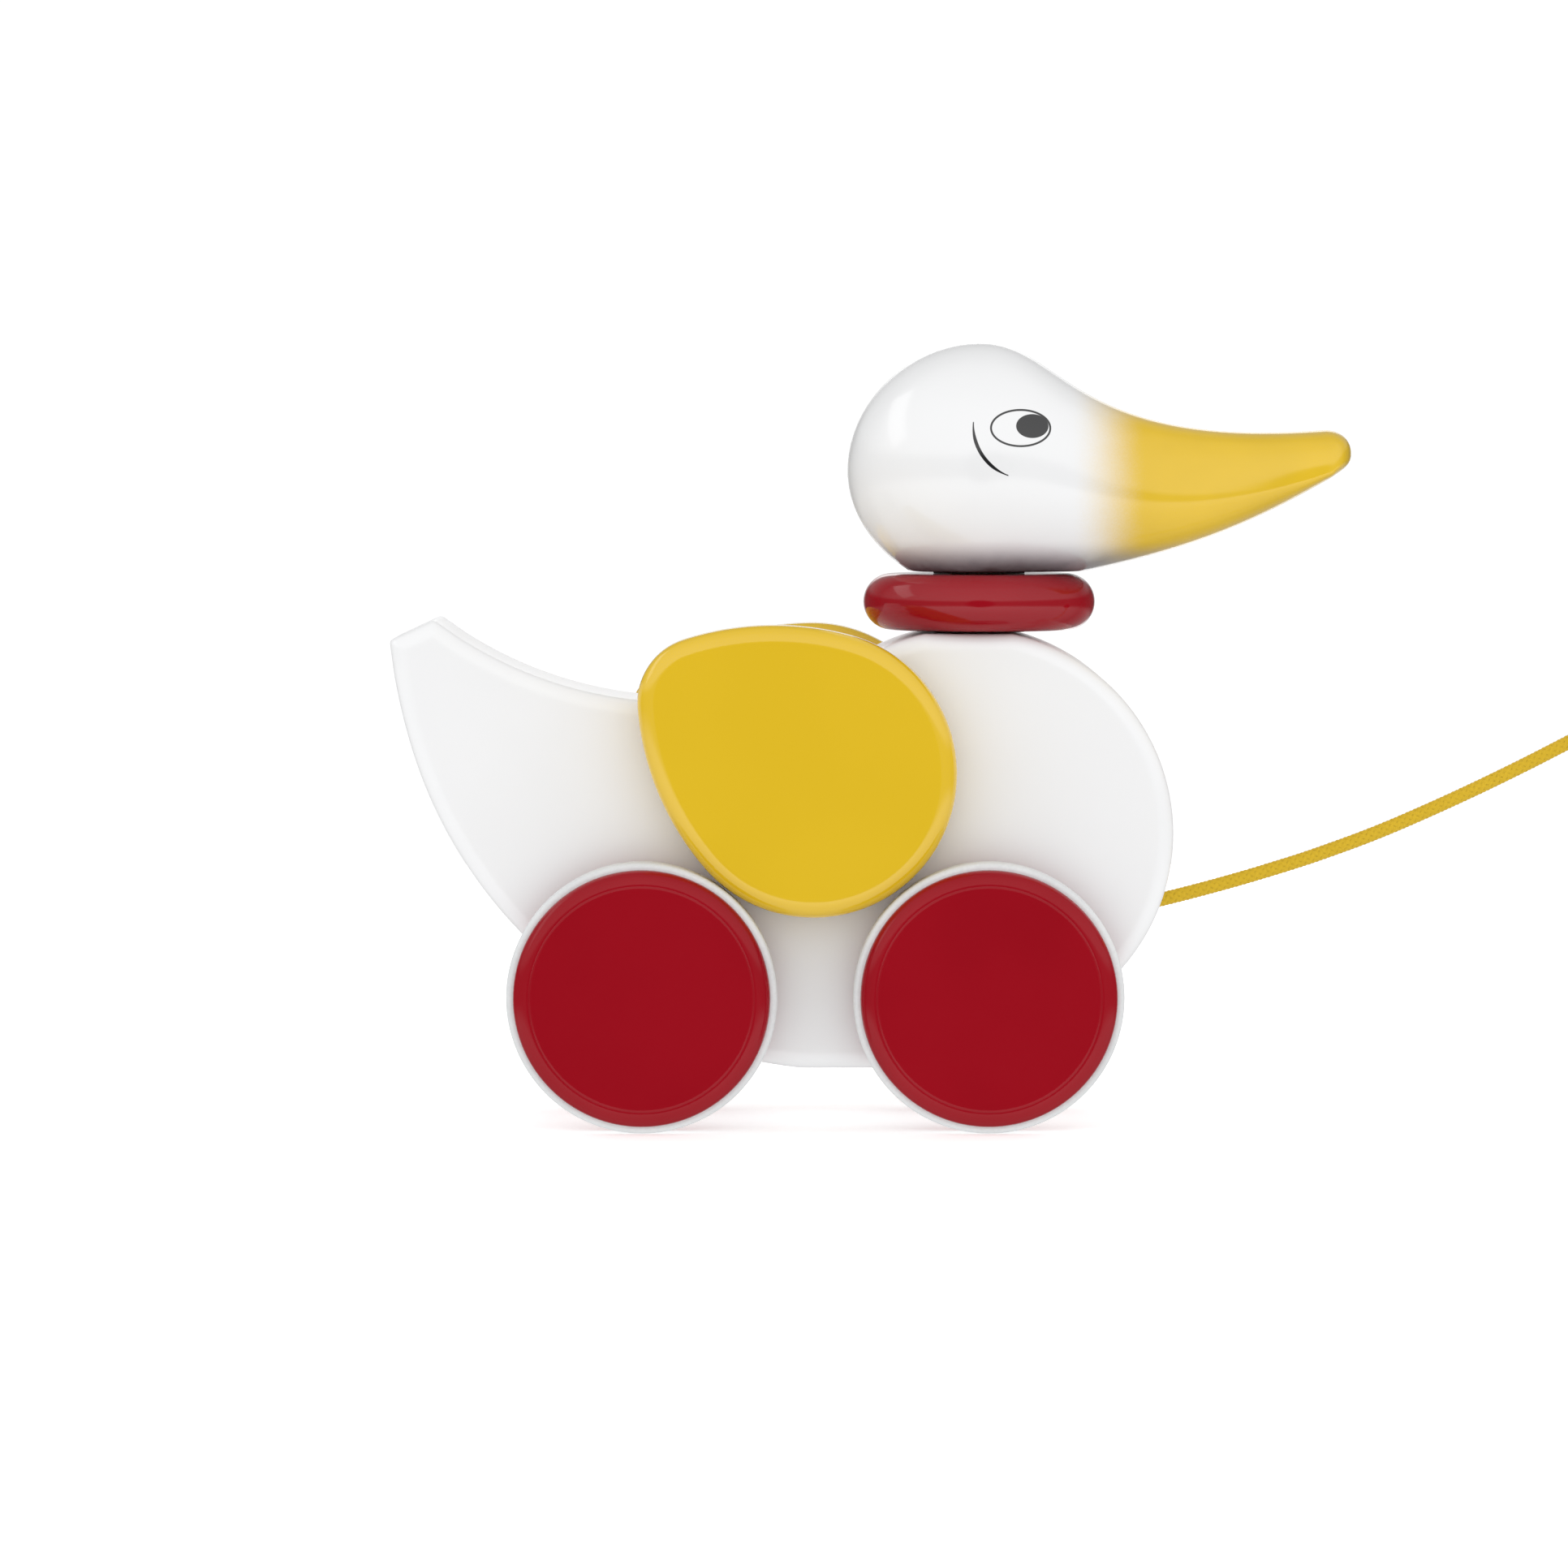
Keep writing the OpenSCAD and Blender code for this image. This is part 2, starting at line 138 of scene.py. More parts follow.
def add_piece(name, bm, body, slot, nodes, cutters=()):
    """A piece that rides on a body, stands for CAD nodes, and has the cutters' shapes taken out."""
    bmesh.ops.recalc_face_normals(bm, faces=bm.faces)
    made = add_object(name, bm)
    for number, cutter in enumerate(cutters):
        tool = add_object(f"cutter_{number}", cutter)
        hole = made.modifiers.new("hole", "BOOLEAN")
        hole.object, hole.solver, hole.use_self = tool, "EXACT", True
        apply_modifiers(made)
        bpy.data.objects.remove(tool)
    made.data.shade_smooth()
    made.data.set_sharp_from_angle(angle=CORNER)
    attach(made, body)
    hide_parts(*nodes)
    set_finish(made, slot)
    print(f"{name}: {len(made.data.polygons)} faces")
    return made


def rod(radius, start, end):
    """A bmesh of a round bar between two points, to cut a hole with."""
    bm = bmesh.new()
    way = end - start
    bmesh.ops.create_cone(bm, cap_ends=True, cap_tris=False, segments=64, radius1=radius,
                          radius2=radius, depth=way.length)
    turn = way.to_track_quat("Z", "Y").to_matrix().to_4x4()
    bmesh.ops.transform(bm, matrix=Matrix.Translation((start + end) / 2) @ turn, verts=bm.verts)
    return bm


print("corners over", round(math.degrees(CORNER)), "degrees stay crisp")

# %% [markdown]
# Boards, rings and wheels all begin as a line in the XZ plane. The pen keeps its last vertex and
# either pulls a new one out of it or spins it round a centre, which leaves a true arc of short
# edges behind. Typing in the points of each outline would also work, but then nobody could see the
# arcs.

# %% Pen
ARC_STEP = 0.0012


class Pen:
    """Draws in the XZ plane. Angles are in degrees, turning left as seen from the duck's right."""

    def __init__(self, x, z):
        self.bm = bmesh.new()
        self.tip = self.bm.verts.new((x, 0, z))

    def line(self, x, z):
        self.tip = bmesh.ops.extrude_vert_indiv(self.bm, verts=[self.tip])["verts"][0]
        self.tip.co = (x, 0, z)
        return self

    def arc(self, centre, sweep, steps=0):
        radius = math.hypot(self.tip.co.x - centre[0], self.tip.co.z - centre[1])
        steps = steps or max(3, math.ceil(radius * abs(math.radians(sweep)) / ARC_STEP))
        made = bmesh.ops.spin(self.bm, geom=[self.tip], cent=(centre[0], 0, centre[1]),
                              axis=(0, -1, 0), angle=math.radians(sweep), steps=steps)
        self.tip = made["geom_last"][0]
        return self


def around(centre, radius, angle):
    """The point at that angle on a circle."""
    a = math.radians(angle)
    return centre[0] + radius * math.cos(a), centre[1] + radius * math.sin(a)


def bearing(centre, point):
    """The angle at which a point lies round a centre, from 0 to 360."""
    return math.degrees(math.atan2(point[1] - centre[1], point[0] - centre[0])) % 360


print("the pen draws arcs in steps of", ARC_STEP)

# %% [markdown]
# A closed line is filled and pulled into a board, whose edges are rounded over as with a router
# bit. An open or closed line is spun round an axis, as on a lathe. A rounded edge shades the flat
# face beside it unless a narrow border of flat faces stands between, and support adds one.

# %% Boards and lathe work
TURN_STEPS = 128
HOLD = 0.0006
SAME = 1e-6


def board(pen, low, high, edge, segments):
    """The pen's closed outline as a board from y = low to y = high, with its edges rounded over."""
    bm = pen.bm
    bmesh.ops.remove_doubles(bm, verts=bm.verts, dist=SAME)
    bmesh.ops.edgeloop_fill(bm, edges=bm.edges)
    bmesh.ops.translate(bm, vec=(0, low, 0), verts=bm.verts)
    pulled = bmesh.ops.extrude_face_region(bm, geom=bm.faces[:])["geom"]
    bmesh.ops.translate(bm, vec=(0, high - low, 0),
                        verts=[g for g in pulled if isinstance(g, bmesh.types.BMVert)])
    bmesh.ops.recalc_face_normals(bm, faces=bm.faces)
    rims = [e for e in bm.edges if abs(e.verts[0].co.y - e.verts[1].co.y) < SAME]
    bmesh.ops.bevel(bm, geom=rims, offset=edge, segments=segments, profile=0.5,
                    affect="EDGES", material=-1)
    return bm


def support(bm, margin=HOLD):
    """A narrow border inside each big flat face, so that shading stays flat up to the rounding."""
    flats = [f for f in bm.faces if len(f.verts) > 60]
    bmesh.ops.inset_region(bm, faces=flats, thickness=margin, use_even_offset=True)


def turned(pen, place, axis):
    """The pen's line spun a full turn about its own Z axis, which is then laid along axis at place."""
    bm = pen.bm
    bmesh.ops.spin(bm, geom=bm.verts[:] + bm.edges[:], cent=(0, 0, 0), axis=(0, 0, 1),
                   angle=2 * math.pi, steps=TURN_STEPS, use_merge=True)
    bmesh.ops.remove_doubles(bm, verts=bm.verts, dist=SAME)
    turn = Vector(axis).to_track_quat("Z", "Y").to_matrix().to_4x4()
    bmesh.ops.transform(bm, matrix=Matrix.Translation(place) @ turn, verts=bm.verts)
    return bm


print("turned pieces have", TURN_STEPS, "steps")

# %% [markdown]
# The body is one board, sawn to an outline of five arcs that run into each other: belly, chest,
# hollow back, rump and belly again. Each centre follows from the one before, because two circles
# that touch have their centres in line with the touching point. The hand of the toy maker shows in
# the edges, which a round cutter has run along on both sides.

# %% Body outline
CHEST_R = 0.0422
CHEST_Z = 0.0606
BELLY_R = 0.0935
RUMP_R = 0.120
SADDLE_R = 0.084
BELLY_TURN = 119.5
RUMP_TURN = 17.6
SADDLE_TURN = 118.2
TAIL_REACH = 0.0904
TAIL_CUT = math.radians(25)
BODY_EDGE = 0.0034
TAIL_SOFT = 0.0007

body_low, body_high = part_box("body")
seat_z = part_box("collar_washer")[0].z


def meet(point, way, centre, radius):
    """Where the line through point along way first meets the circle."""
    to = Vector(point) - Vector(centre)
    b = to.dot(way)
    return Vector(point) + way * (-b - math.sqrt(b * b - to.length_squared + radius ** 2))


def draw_body():
    chest = (body_high.x - CHEST_R, CHEST_Z)
    belly = around(chest, BELLY_R - CHEST_R, BELLY_TURN)
    rump = around(belly, RUMP_R - BELLY_R, RUMP_TURN)
    saddle = around(chest, CHEST_R + SADDLE_R, SADDLE_TURN)
    flat = math.degrees(math.acos((belly[1] - body_low.z) / BELLY_R))
    seat = math.degrees(math.acos((seat_z - chest[1]) / CHEST_R))
    tail = (-TAIL_REACH, saddle[1] - math.sqrt(SADDLE_R ** 2 - (TAIL_REACH + saddle[0]) ** 2))
    low = meet(tail, Vector((math.cos(TAIL_CUT), math.sin(TAIL_CUT))), rump, RUMP_R)
    pen = Pen(*around(belly, BELLY_R, 270 + flat))
    pen.arc(belly, BELLY_TURN - 90 - flat)
    pen.arc(chest, 270 - BELLY_TURN - seat)
    pen.line(*around(chest, CHEST_R, 90 + seat))
    pen.arc(chest, SADDLE_TURN - 90 - seat)
    saddle_end, rump_start = bearing(saddle, tail) + 4, bearing(rump, low) + 3
    pen.arc(saddle, saddle_end - SADDLE_TURN - 180)
    pen.line(*tail).line(*low).line(*around(rump, RUMP_R, rump_start))
    pen.arc(rump, RUMP_TURN + 180 - rump_start)
    pen.arc(belly, 90 - RUMP_TURN - flat)
    pen.line(*around(belly, BELLY_R, 270 + flat))
    return pen


print("the body reaches from", round(body_low.x, 4), "to", round(body_high.x, 4))

# %% [markdown]
# A real body is drilled before it is painted. It has two holes for the axle bushes, one for the
# wing shaft, a deep one for the neck dowel, a thin one for the pin that holds the dowel, and in
# the breast a slanting hole that the cord leaves by, with a pocket for its knot bored from below.
# Each hole takes its size from the piece that fills it.

# %% Body
BUSH_R = 0.00456
RUN_FIT = 0.00006
END_ROOM = 0.0003
ABOVE_BODY = 0.12
PIN_DEEP = -0.006
PIN_OUT = 0.03
CORD_HOLE_R = 0.00175
EXIT_RISE = math.atan2(0.0024, 0.010)
CRISP = math.radians(16)


def body_holes():
    across = Vector((0, extent("body").y, 0))
    for side in ("front", "rear"):
        bush = middle(f"bush_{side}_right")
        centre = Vector((bush.x, 0, bush.z))
        yield rod(BUSH_R, centre - across, centre + across)
    shaft = middle("wing_shaft")
    yield rod(extent("wing_shaft").x / 2, shaft - across, shaft + across)
    dowel_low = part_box("neck_dowel")[0].z
    neck = middle("neck_dowel")
    yield rod(extent("neck_dowel").x / 2 + RUN_FIT, Vector((neck.x, 0, dowel_low - END_ROOM)),
              Vector((neck.x, 0, ABOVE_BODY)))
    pin = middle("neck_pin")
    yield rod(extent("neck_pin").x / 2, Vector((pin.x, PIN_DEEP, pin.z)),
              Vector((pin.x, PIN_OUT, pin.z)))
    knot = middle("cord_knot")
    knot_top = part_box("cord_knot")[1].z
    yield rod(extent("cord_plug").x / 2, Vector((knot.x, 0, 0)),
              Vector((knot.x, 0, knot_top + END_ROOM)))
    out = Vector((math.cos(EXIT_RISE), 0, math.sin(EXIT_RISE)))
    yield rod(CORD_HOLE_R, knot, knot + out * CHEST_R)


def make_body():
    bm = board(draw_body(), body_low.y, body_high.y, BODY_EDGE, 8)
    support(bm)
    crisp = [e for e in bm.edges if len(e.link_faces) == 2 and e.calc_face_angle() > CRISP]
    bmesh.ops.bevel(bm, geom=crisp, offset=TAIL_SOFT, segments=3, profile=0.5,
                    affect="EDGES", material=-1)
    add_piece("board_body", bm, "duck_body", "white_lacquer", ["body"], body_holes())


make_body()

# %% [markdown]
# The head is carved, not turned: round at the back and drawn out into a bill in front. Four curves
# guide it, over the crown, under the jaw and along both sides. Each is a cubic curve with four
# handles, because a few handles give a fair line and many points give a lumpy one.

# %% Head guides
HEAD_BACK = 0.0274
CROWN_RUN = 0.0178
JAW_DIP = 0.0042
BILL_WIDTH = 0.027

head_low, head_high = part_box("head")
base, crown = head_low.z, head_high.z
neck_x = middle("neck_dowel").x
back_x = neck_x - HEAD_BACK
tip_x = head_high.x + 0.0001
bill_top = crown - 0.0182
bill_low = base + 0.0193
tip_z = base + 0.0243
pole = base + 0.44 * (crown - base)
widest = head_high.y


def bezier(points, t):
    """A point on a cubic curve, or a number where its four handles are numbers."""
    a, b, c, d = (Vector(p) if isinstance(p, tuple) else p for p in points)
    return a * (1 - t) ** 3 + b * 3 * t * (1 - t) ** 2 + c * 3 * t * t * (1 - t) + d * t ** 3


DOME = {"up": [(back_x, pole), (back_x, pole + 0.0142), (neck_x - 0.0144, crown), (neck_x, crown)],
        "down": [(back_x, pole), (back_x, pole - 0.0138), (neck_x - 0.0135, base - JAW_DIP),
                 (neck_x, base - JAW_DIP)]}
BILL = {"up": [(neck_x, crown), (neck_x + CROWN_RUN, crown), (tip_x - 0.059, bill_top - 0.0042),
               (tip_x - 0.0055, bill_top)],
        "down": [(neck_x, base - JAW_DIP), (neck_x + 0.032, base + 0.0015),
                 (tip_x - 0.028, base + 0.0053), (tip_x - 0.0046, bill_low)]}
TIP = {"up": [(tip_x - 0.0055, bill_top), (tip_x - 0.0022, bill_top), (tip_x, tip_z + 0.003),
              (tip_x, tip_z)],
       "down": [(tip_x - 0.0046, bill_low), (tip_x - 0.0024, bill_low + 0.0016),
                (tip_x, tip_z - 0.0025), (tip_x, tip_z)]}


print("the head reaches from", round(back_x, 4), "to", round(tip_x, 4))

# %% [markdown]
# The guides carry upright ribs, each a circle pulled into the section of the head at that place.
# The height at which a rib is widest sinks towards the tip, so that the underside of the bill is a
# narrow facet of its own.

# %% Head ribs
DOME_RIBS = 18
BILL_RIBS = 44
TIP_RIBS = 9
RIB_POINTS = 96


def rib(bm, up, down, waist, half, square):
    """A circle pulled into a section: waist is how far up it is widest, square how boxy it is."""
    made = bmesh.ops.create_circle(bm, segments=RIB_POINTS, radius=1)["verts"]
    middle_point = down + (up - down) * waist
    for v in made:
        tall, wide = (math.copysign(abs(c) ** (2 / square), c) for c in (v.co.y, v.co.x))
        to = middle_point + (up - middle_point if tall > 0 else middle_point - down) * tall
        v.co = (to.x, half * wide, to.y)
    return {e for v in made for e in v.link_edges}


def head_ribs(bm):
    """The ribs from the back of the head to the tip of the bill."""
    for i in range(DOME_RIBS):
        t = 0.03 + 0.97 * i / DOME_RIBS
        yield rib(bm, bezier(DOME["up"], t), bezier(DOME["down"], t), 0.5,
                  widest * math.sin(math.pi / 2 * t), 2)
    for i in range(BILL_RIBS):
        t = i / BILL_RIBS
        half = bezier([2 * widest, 2 * widest, 0.9 * BILL_WIDTH, BILL_WIDTH], t) / 2
        yield rib(bm, bezier(BILL["up"], t), bezier(BILL["down"], t), 0.5 - 0.34 * t * t,
                  half, 2 + 0.5 * t)
    for i in range(TIP_RIBS + 1):
        t = 0.98 * i / TIP_RIBS
        yield rib(bm, bezier(TIP["up"], t), bezier(TIP["down"], t), 0.16 + 0.34 * t,
                  BILL_WIDTH / 2 * math.cos(math.pi / 2 * t), 2.5)


print("the head has", DOME_RIBS + BILL_RIBS + TIP_RIBS + 1, "ribs")

# %% [markdown]
# A loop of edges is bridged to the next, one pair at a time, and the two ends are closed with a
# small fan. The head is then sawn flat where it stands on the ring, its new rim is eased as
# sandpaper would ease it, and the hole for the dowel is drilled from below.

# %% Head
EASED = 0.0009
BASE_HOLD = 0.0004


def close_ends(bm):
    """Fills every open loop of edges and turns the fill into a fan of triangles."""
    rims = [e for e in bm.edges if e.is_boundary]
    fills = bmesh.ops.holes_fill(bm, edges=rims, sides=0)["faces"]
    bmesh.ops.poke(bm, faces=fills)


def make_head():
    bm = bmesh.new()
    loops = list(head_ribs(bm))
    for first, second in zip(loops, loops[1:]):
        bmesh.ops.bridge_loops(bm, edges=list(first | second))
    close_ends(bm)
    bmesh.ops.recalc_face_normals(bm, faces=bm.faces)
    bmesh.ops.bisect_plane(bm, geom=bm.verts[:] + bm.edges[:] + bm.faces[:], dist=SAME,
                           plane_co=(0, 0, base), plane_no=(0, 0, -1), clear_outer=True)
    low_points = [v for v in bm.verts if v.co.z < base + EASED]
    bmesh.ops.remove_doubles(bm, verts=low_points, dist=EASED / 3)
    rims = [e for e in bm.edges if e.is_boundary]
    bmesh.ops.holes_fill(bm, edges=rims, sides=0)
    bmesh.ops.bevel(bm, geom=rims, offset=EASED, segments=4, profile=0.5, affect="EDGES", material=-1)
    support(bm, BASE_HOLD)
    dowel = middle("neck_dowel")
    hole = rod(extent("neck_dowel").x / 2, Vector((dowel.x, 0, base - 0.01)),
               Vector((dowel.x, 0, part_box("neck_dowel")[1].z)))
    add_piece("carved_head", bm, "duck_head", "head_lacquer", ["head"], [hole])


make_head()

# %% [markdown]
# The neck ring, the wheels and the bead are turned on a lathe, so each is a line spun about an
# axis. The ring is a flat disc with a fully round rim and a bore that runs loosely on the dowel.
# Its line starts in the bore, and an extra point where flat meets round keeps the flat faces flat.

# %% Neck ring
def make_ring():
    half = extent("collar").z / 2
    bore = extent("neck_dowel").x / 2 + RUN_FIT
    flat = extent("collar").x / 2 - half
    pen = Pen(bore, EASED / 2 - half)
    pen.arc((bore + EASED / 2, EASED / 2 - half), 90, 3)
    pen.line(flat - HOLD, -half).line(flat, -half)
    pen.arc((flat, 0), 180, 24)
    pen.line(flat - HOLD, half).line(bore + EASED / 2, half)
    pen.arc((bore + EASED / 2, half - EASED / 2), 90, 3)
    pen.line(bore, EASED / 2 - half)
    add_piece("neck_ring_turned", turned(pen, middle("collar"), (0, 0, 1)), "neck_ring",
              "collar_lacquer", ["collar"])


make_ring()

# %% [markdown]
# A wing is an egg: a large circle round its pivot and a small one at its tip, joined by two slacker
# arcs. An arc that holds both circles inside it touches each of them where its own centre and
# theirs are in line, and that gives its centre. The left wing has swung a little further down, as
# a wing that hangs free on its shaft does, so its mesh is turned about the pivot.

# %% Wings
WING_R = 0.0294
LOBE_R = 0.0136
LOBE = Vector((-0.0224, 0.0146))
TOP_R = 0.060
REAR_R = 0.057
WING_EDGE = 0.0036
LEFT_TURN = math.radians(16)


def holding(radius, side):
    """Centre of an arc that touches the wing's two circles from outside, on one side of them."""
    apart = LOBE.length
    along = ((radius - WING_R) ** 2 - (radius - LOBE_R) ** 2 + apart ** 2) / (2 * apart)
    off = math.sqrt((radius - WING_R) ** 2 - along ** 2)
    way = LOBE / apart
    return way * along + Vector((-way.y, way.x)) * off * side


def draw_wing():
    top, rear = holding(TOP_R, 1), holding(REAR_R, -1)
    marks = [bearing(top, (0, 0)), bearing(top, LOBE), bearing(rear, LOBE), bearing(rear, (0, 0))]
    pen = Pen(*around((0, 0), WING_R, marks[3]))
    pen.arc((0, 0), (marks[0] - marks[3]) % 360)
    pen.arc(top, marks[1] - marks[0])
    pen.arc(LOBE, marks[2] - marks[1])
    pen.arc(rear, marks[3] - marks[2])
    return pen


def make_wing(side, swing):
    node = f"wing_{side}"
    low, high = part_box(node)
    pivot = JOINTS[f"{side}_wing_swing"]
    bm = board(draw_wing(), low.y, high.y, WING_EDGE, 9)
    support(bm)
    bmesh.ops.rotate(bm, cent=(0, 0, 0), matrix=Matrix.Rotation(-swing, 3, "Y"), verts=bm.verts)
    bmesh.ops.translate(bm, vec=(pivot.x, 0, pivot.z), verts=bm.verts)
    bush = extent(f"wing_bush_{side}")
    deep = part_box(f"wing_bush_{side}")[0 if side == "right" else 1].y
    hole = rod(bush.x / 2, Vector((pivot.x, 0, pivot.z)), Vector((pivot.x, deep, pivot.z)))
    add_piece(f"{side}_wing_board", bm, f"{side}_wing", "wing_lacquer", [node], [hole])


make_wing("right", 0)
make_wing("left", LEFT_TURN)

# %% [markdown]
# A wheel is a thick disc with a blind hole for its axle on the hidden side, a bed for the tyre round
# its rim and a well rounded edge on the painted face, where the turning tool has left a hair line
# at the start of the rounding. One line holds all of that. The tyre is a second line that fills the
# bed and stands a little proud of it, with soft shoulders.

# %% Wheel and tyre lines
WHEEL_EDGE = 0.0032
BACK_EDGE = 0.0015
BED_DEPTH = 0.002
TYRE_SOFT = 0.0012
TOOL_LINE = 0.0002


def wheel_line(radius, thick, tyre_low, tyre_high, grip):
    hub = extent("front_axle").x / 2
    pen = Pen(0, grip).line(hub, grip).line(hub, 0)
    pen.line(radius - BACK_EDGE - HOLD, 0).line(radius - BACK_EDGE, 0)
    pen.arc((radius - BACK_EDGE, BACK_EDGE), 90, 6)
    pen.line(radius, tyre_low).line(radius - BED_DEPTH, tyre_low)
    pen.line(radius - BED_DEPTH, tyre_high).line(radius, tyre_high)
    pen.line(radius, thick - WHEEL_EDGE)
    pen.arc((radius - WHEEL_EDGE, thick - WHEEL_EDGE), 90, 12)
    face = radius - WHEEL_EDGE
    pen.line(face - TOOL_LINE / 2, thick - TOOL_LINE / 4).line(face - TOOL_LINE, thick)
    return pen.line(face - HOLD, thick).line(0, thick)


def tyre_line(bed, radius, width):
    pen = Pen(bed, 0).line(radius - TYRE_SOFT, 0)
    pen.arc((radius - TYRE_SOFT, TYRE_SOFT), 90, 7)
    pen.line(radius, width - TYRE_SOFT)
    pen.arc((radius - TYRE_SOFT, width - TYRE_SOFT), 90, 7)
    return pen.line(bed, width).line(bed, 0)


print("a tyre lies", BED_DEPTH, "metres deep in its wheel")

# %% [markdown]
# The four wheels and their tyres are the same two lines, spun about the axle. Each is laid with its
# painted face outwards, and the sizes that could differ come from the pieces that it stands for.

# %% Wheels and tyres
WHEELS = [(end, side) for end in ("front", "rear") for side in ("right", "left")]


def make_wheel(end, side):
    out = -1 if side == "right" else 1
    wheel, tyre = f"wheel_{end}_{side}", f"tyre_{end}_{side}"
    hub_y = min(abs(corner.y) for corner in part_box(wheel))
    tyre_y = min(abs(corner.y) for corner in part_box(tyre))
    grip = max(abs(corner.y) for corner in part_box(f"{end}_axle")) - hub_y
    centre = middle(wheel)
    radius, size = extent(wheel).x / 2, extent(tyre)
    line = wheel_line(radius, extent(wheel).y, tyre_y - hub_y, tyre_y - hub_y + size.y, grip)
    add_piece(f"turned_{wheel}", turned(line, (centre.x, out * hub_y, centre.z), (0, out, 0)),
              f"{end}_wheels", "wheel_lacquer", [wheel])
    band = tyre_line(radius - BED_DEPTH, size.x / 2, size.y)
    add_piece(f"rubber_{tyre}", turned(band, (centre.x, out * tyre_y, centre.z), (0, out, 0)),
              f"{end}_wheels", "tyre_rubber", [tyre])


for end, side in WHEELS:
    make_wheel(end, side)

# %% [markdown]
# The cord is 3 mm braided polyester, held taut by whoever pulls, so it rises out of the breast in
# one slack curve and ends just out of the camera's sight in a wooden bead with a stopper knot.
# Its route is a list of given places, in millimetres along X and Z. A curve that passes
# through them all gives the points in between.

# %% Cord route
MM = 0.001
ROUTE = [(47, 42.7), (50, 43.4), (55, 44.6), (60, 45.8), (66, 47.3), (72, 48.9), (78, 50.6),
         (84, 52.4), (90, 54.3), (96, 56.4), (102, 58.6), (108, 61), (114, 63.6), (120, 66.3),
         (126, 69.1), (132, 72), (138, 75), (144, 78.1), (150, 81.2), (156, 84.3), (162, 87.4),
         (168, 90.5), (174.8, 94)]
CORD_D = 0.003
RING_STEP = 0.00022


def through(points):
    """A smooth line through all the points, with a new point about every RING_STEP."""
    ends = [2 * points[0] - points[1], *points, 2 * points[-1] - points[-2]]
    line = []
    for a, b, c, d in zip(ends, ends[1:], ends[2:], ends[3:]):
        steps = max(1, round((c - b).length / RING_STEP))
        for i in range(steps):
            t = i / steps
            line.append(b + (c - a) * t / 2 + (a - 2.5 * b + 2 * c - d / 2) * t ** 2
                        + (1.5 * (b - c) + (d - a) / 2) * t ** 3)
    return line + [points[-1]]


cord_line = through([Vector((x, 0, z)) * MM for x, z in ROUTE])
cord_length = sum((b - a).length for a, b in zip(cord_line, cord_line[1:]))
print("the cord is", round(cord_length, 4), "m long")

# %% [markdown]
# Six yarns wind one way round the cord and six the other, and where two cross, each goes over and
# under in turn. Twelve loose tubes would cut through each other, so the braid is one closed tube
# whose surface is, at each place, the yarn that lies on top there.

# %% Braid
YARNS = 6
LAY = 0.0105
YARN_CORE = 0.00112
YARN_CROWN = 0.00028
YARN_WEAVE = 0.0001


def braid_at(along, turn):
    """Radius, place across the yarn and height on the yarn, at one place on the braid."""
    wind = 2 * math.pi * along / LAY
    over = YARN_WEAVE * math.cos(YARNS * wind)
    found = []
    for way in (1, -1):
        across = (turn - way * wind) * YARNS / (2 * math.pi) % 1 - 0.5
        crown = math.sqrt(max(0.0, 1 - 4 * across * across))
        found.append((YARN_CORE + way * over + YARN_CROWN * crown, across, crown))
    return max(found)


print("a yarn winds round once in", LAY, "metres")

# %% [markdown]
# A curve with a round bevel gives the rings of the tube, and each vertex is then moved out to its
# yarn. Three numbers stay behind on each vertex, how far it is across its yarn, how far along the
# cord and how high on the yarn, for the finish to draw fibres with.

# %% Braided cord
ROUND = 28


def tube(line):
    """A tube with a ring of points round each point of the line, from a bevelled curve."""
    curve = bpy.data.curves.new("line", "CURVE")
    curve.dimensions, curve.twist_mode, curve.fill_mode = "3D", "MINIMUM", "FULL"
    curve.bevel_depth, curve.bevel_resolution = CORD_D / 2, ROUND
    spline = curve.splines.new("POLY")
    spline.points.add(len(line) - 1)
    spline.points.foreach_set("co", [x for p in line for x in (*p, 1)])
    holder = bpy.data.objects.new("line", curve)
    mesh = bpy.data.meshes.new_from_object(holder)
    bm = bmesh.new()
    bm.from_mesh(mesh)
    bpy.data.meshes.remove(mesh)
    bpy.data.curves.remove(curve)
    return bm


def braided(line):
    """The tube of the line with the relief of the braid on it."""
    bm = tube(line)
    sides = len(bm.verts) // len(line)
    yarn = bm.verts.layers.float_vector.new("yarn")
    bm.verts.ensure_lookup_table()
    along = 0.0
    for i, centre in enumerate(line):
        along += (centre - line[i - 1]).length if i else 0
        for k, v in enumerate(bm.verts[i * sides:(i + 1) * sides]):
            radius, across, crown = braid_at(along, 2 * math.pi * k / sides)
            v.co = centre + (v.co - centre).normalized() * radius
            v[yarn] = (across, along, crown)
    bmesh.ops.holes_fill(bm, edges=[e for e in bm.edges if e.is_boundary], sides=0)
    return bm


pull_cord = add_piece("braided_cord", braided(cord_line), "duck_body", "cord_braid", ["pull_cord"])

# %% [markdown]
# Each end of the cord is tied off. The cord runs on, turns back over itself, winds a few times
# round its own standing part and leaves with a short tail, which makes a barrel that can't slip
# through a hole. The same path serves both knots, with fewer turns for the one in the breast.

# %% Knots
WIND_R = 0.0029
TURN_POINTS = 14
LEAD = 34


